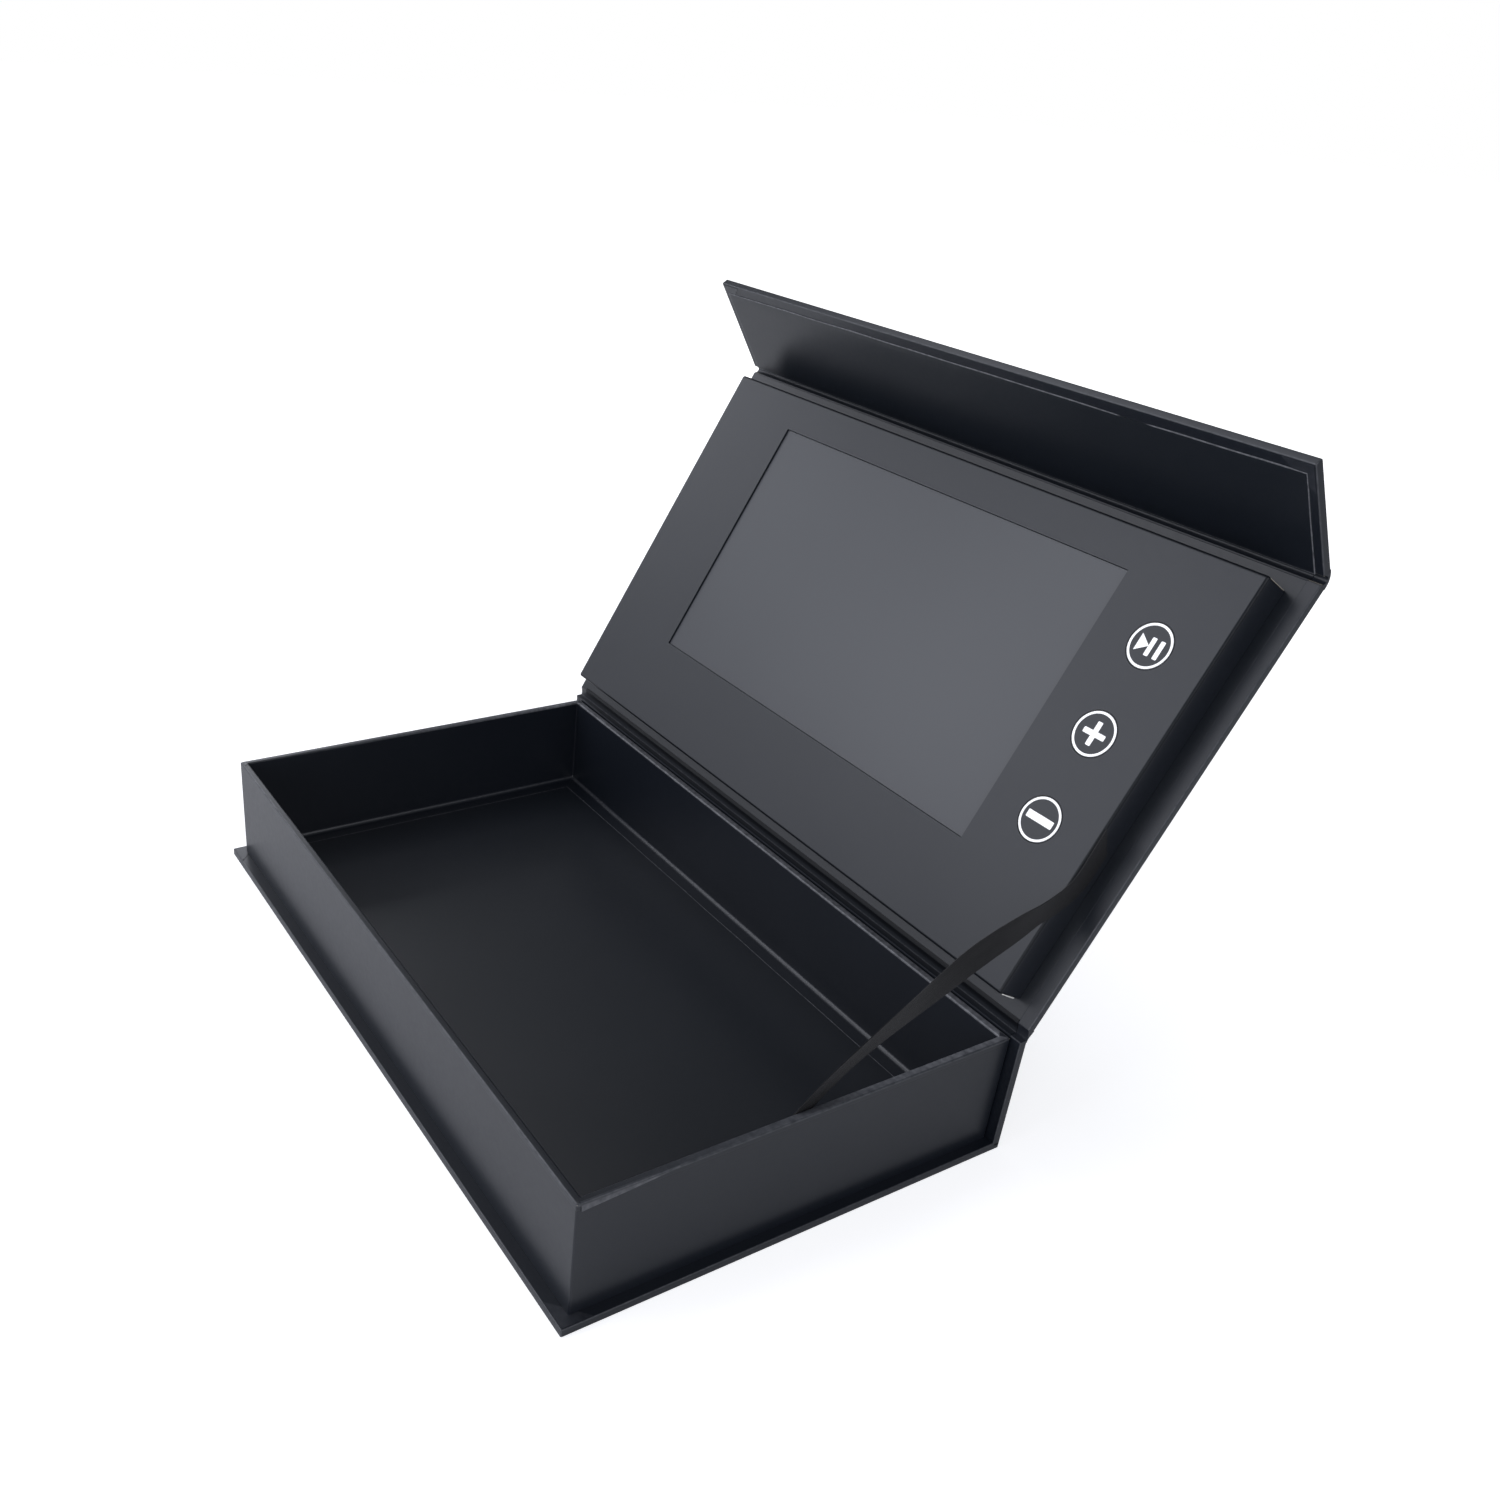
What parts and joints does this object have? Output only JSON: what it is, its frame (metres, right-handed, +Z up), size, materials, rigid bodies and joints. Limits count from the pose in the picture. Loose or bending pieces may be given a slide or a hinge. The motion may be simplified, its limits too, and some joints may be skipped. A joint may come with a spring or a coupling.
{
  "type": "lcd video brochure",
  "caption": "Rigid magnetic gift box in black paper with a video screen and round buttons in its hinged lid, shown open and held by a ribbon.",
  "frame": {"origin": "middle of the tray's width and depth, on the underside of the base board", "axes": "+X along the lid's hinge towards the button side, +Y from the tray's front wall to the hinge, +Z up"},
  "size_m": [0.2444, 0.2139, 0.1944],
  "materials": {
    "greyboard": "matte",
    "wrapping_paper": "matte laminated",
    "lining_paper": "matte laminated",
    "satin_ribbon": "satin weave",
    "plated_steel": "plated",
    "foam": "open cell",
    "screen_glass": "anti-glare",
    "white_plastic": "moulded",
    "button_cap": "satin",
    "black_plastic": "moulded",
    "circuit_board": "solder mask",
    "amber_film": "film",
    "battery_foil": "foil pouch",
    "red_insulation": "smooth",
    "speaker_film": "translucent film",
    "green_glass": "drawn glass"
  },
  "bodies": {
    "base": {"base_board": "greyboard", "base_wrap": "wrapping_paper", "spine_board": "greyboard", "spine_wrap": "wrapping_paper", "tray_floor": "greyboard", "tray_front_wall": "greyboard", "tray_back_wall": "greyboard", "tray_left_wall": "greyboard", "tray_right_wall": "greyboard", "tray_wrap": "wrapping_paper", "floor_lining": "lining_paper", "tray_magnets": "plated_steel", "trigger_magnet": "plated_steel", "lid_hinge_wrap": "wrapping_paper", "lid_hinge_lining": "lining_paper", "ribbon_stay": "satin_ribbon"},
    "lid": {"lid_board": "greyboard", "lid_wrap": "wrapping_paper", "lid_lining": "lining_paper", "panel_rear_side": "greyboard", "panel_front_side": "greyboard", "panel_left_side": "greyboard", "panel_right_side": "greyboard", "face_card": "greyboard", "panel_wrap": "lining_paper", "foam_bed": "foam", "screen_frame": "plated_steel", "screen_glass": "screen_glass", "backlight": "white_plastic", "screen_flex": "amber_film", "main_board": "circuit_board", "video_chip": "black_plastic", "memory_chip": "black_plastic", "clock_crystal": "plated_steel", "flex_socket": "white_plastic", "usb_port": "plated_steel", "battery": "battery_foil", "battery_leads": "red_insulation", "speaker": "black_plastic", "speaker_cone": "speaker_film", "speaker_leads": "black_plastic", "button_board": "circuit_board", "button_switches": "black_plastic", "button_cable": "white_plastic", "lid_sensor": "green_glass", "flap_hinge_wrap": "wrapping_paper", "flap_hinge_lining": "lining_paper"},
    "flap": {"flap_board": "greyboard", "flap_wrap": "wrapping_paper", "flap_lining": "lining_paper", "flap_magnets": "plated_steel"},
    "play_button": {"play_button": "button_cap"},
    "plus_button": {"plus_button": "button_cap"},
    "minus_button": {"minus_button": "button_cap"}
  },
  "joints": [
    {"name": "lid_hinge", "type": "hinge", "parent": "base", "child": "lid", "pos_m": [0, 0.07025, 0.0397], "axis": [1, 0, 0], "range_deg": [0, 119.7], "deforming": ["lid_hinge_wrap", "lid_hinge_lining", "ribbon_stay"]},
    {"name": "flap_hinge", "type": "hinge", "parent": "lid", "child": "flap", "pos_m": [0, 0.14074, 0.16217], "axis": [1, 0, 0], "range_deg": [-152.3, 27.7], "deforming": ["flap_hinge_wrap", "flap_hinge_lining"]},
    {"name": "play_press", "type": "slide", "parent": "lid", "child": "play_button", "axis": [0, 0.8686, -0.4955], "range_m": [0, 0.0004], "stiffness_N_per_m": 1500, "springref_m": -0.0005},
    {"name": "plus_press", "type": "slide", "parent": "lid", "child": "plus_button", "axis": [0, 0.8686, -0.4955], "range_m": [0, 0.0004], "stiffness_N_per_m": 1500, "springref_m": -0.0005},
    {"name": "minus_press", "type": "slide", "parent": "lid", "child": "minus_button", "axis": [0, 0.8686, -0.4955], "range_m": [0, 0.0004], "stiffness_N_per_m": 1500, "springref_m": -0.0005}
  ]
}
